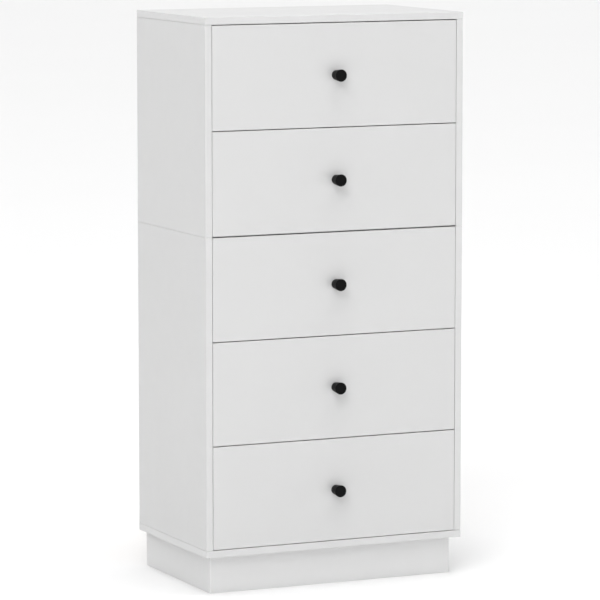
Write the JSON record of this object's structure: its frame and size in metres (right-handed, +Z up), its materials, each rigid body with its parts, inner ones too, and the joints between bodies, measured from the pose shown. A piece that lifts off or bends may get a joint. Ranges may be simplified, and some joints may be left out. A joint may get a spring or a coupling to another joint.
{
  "type": "tall chest of drawers",
  "caption": "Tall narrow chest of flush inset drawers in white board, with a small turned knob at the middle of each front, on a recessed plinth.",
  "frame": {"origin": "on the floor, under the middle of the whole chest with its knobs", "axes": "+X across the width, to the right as you face the fronts, -Y towards the front where the drawers open, +Z up"},
  "size_m": [0.6, 0.401, 1.217],
  "materials": {
    "white_board": "chipboard with white satin melamine",
    "drawer_box": "chipboard with white paper foil",
    "hardboard": "hardboard, painted white on its smooth side",
    "edge_band": "white edge banding",
    "raw_board": "raw chipboard or hardboard",
    "knob_black": "matte black powder coat",
    "slide_steel": "white epoxy-coated steel",
    "roller_nylon": "natural nylon",
    "zinc": "bright zinc plate"
  },
  "bodies": {
    "carcass": {"top_panel": "white_board", "bottom_panel": "white_board", "left_side_upper": "white_board", "left_side_lower": "white_board", "right_side_upper": "white_board", "right_side_lower": "white_board", "middle_shelf": "white_board", "back_panel": "hardboard", "plinth_surround": "white_board", "plinth_back": "white_board", "left_cabinet_rail_1": "slide_steel", "right_cabinet_rail_1": "slide_steel", "left_cabinet_rail_2": "slide_steel", "right_cabinet_rail_2": "slide_steel", "left_cabinet_rail_3": "slide_steel", "right_cabinet_rail_3": "slide_steel", "left_cabinet_rail_4": "slide_steel", "right_cabinet_rail_4": "slide_steel", "left_cabinet_rail_5": "slide_steel", "right_cabinet_rail_5": "slide_steel"},
    "drawer_1": {"drawer_1_front": "white_board", "drawer_1_left_side": "drawer_box", "drawer_1_right_side": "drawer_box", "drawer_1_back": "drawer_box", "drawer_1_bottom": "hardboard", "drawer_1_knob": "knob_black", "drawer_1_left_rail": "slide_steel", "drawer_1_right_rail": "slide_steel"},
    "drawer_2": {"drawer_2_front": "white_board", "drawer_2_left_side": "drawer_box", "drawer_2_right_side": "drawer_box", "drawer_2_back": "drawer_box", "drawer_2_bottom": "hardboard", "drawer_2_knob": "knob_black", "drawer_2_left_rail": "slide_steel", "drawer_2_right_rail": "slide_steel"},
    "drawer_3": {"drawer_3_front": "white_board", "drawer_3_left_side": "drawer_box", "drawer_3_right_side": "drawer_box", "drawer_3_back": "drawer_box", "drawer_3_bottom": "hardboard", "drawer_3_knob": "knob_black", "drawer_3_left_rail": "slide_steel", "drawer_3_right_rail": "slide_steel"},
    "drawer_4": {"drawer_4_front": "white_board", "drawer_4_left_side": "drawer_box", "drawer_4_right_side": "drawer_box", "drawer_4_back": "drawer_box", "drawer_4_bottom": "hardboard", "drawer_4_knob": "knob_black", "drawer_4_left_rail": "slide_steel", "drawer_4_right_rail": "slide_steel"},
    "drawer_5": {"drawer_5_front": "white_board", "drawer_5_left_side": "drawer_box", "drawer_5_right_side": "drawer_box", "drawer_5_back": "drawer_box", "drawer_5_bottom": "hardboard", "drawer_5_knob": "knob_black", "drawer_5_left_rail": "slide_steel", "drawer_5_right_rail": "slide_steel"}
  },
  "joints": [
    {"name": "drawer_1_slide", "type": "slide", "parent": "carcass", "child": "drawer_1", "axis": [0, -1, 0], "range_m": [0, 0.225]},
    {"name": "drawer_2_slide", "type": "slide", "parent": "carcass", "child": "drawer_2", "axis": [0, -1, 0], "range_m": [0, 0.225]},
    {"name": "drawer_3_slide", "type": "slide", "parent": "carcass", "child": "drawer_3", "axis": [0, -1, 0], "range_m": [0, 0.225]},
    {"name": "drawer_4_slide", "type": "slide", "parent": "carcass", "child": "drawer_4", "axis": [0, -1, 0], "range_m": [0, 0.225]},
    {"name": "drawer_5_slide", "type": "slide", "parent": "carcass", "child": "drawer_5", "axis": [0, -1, 0], "range_m": [0, 0.225]}
  ]
}
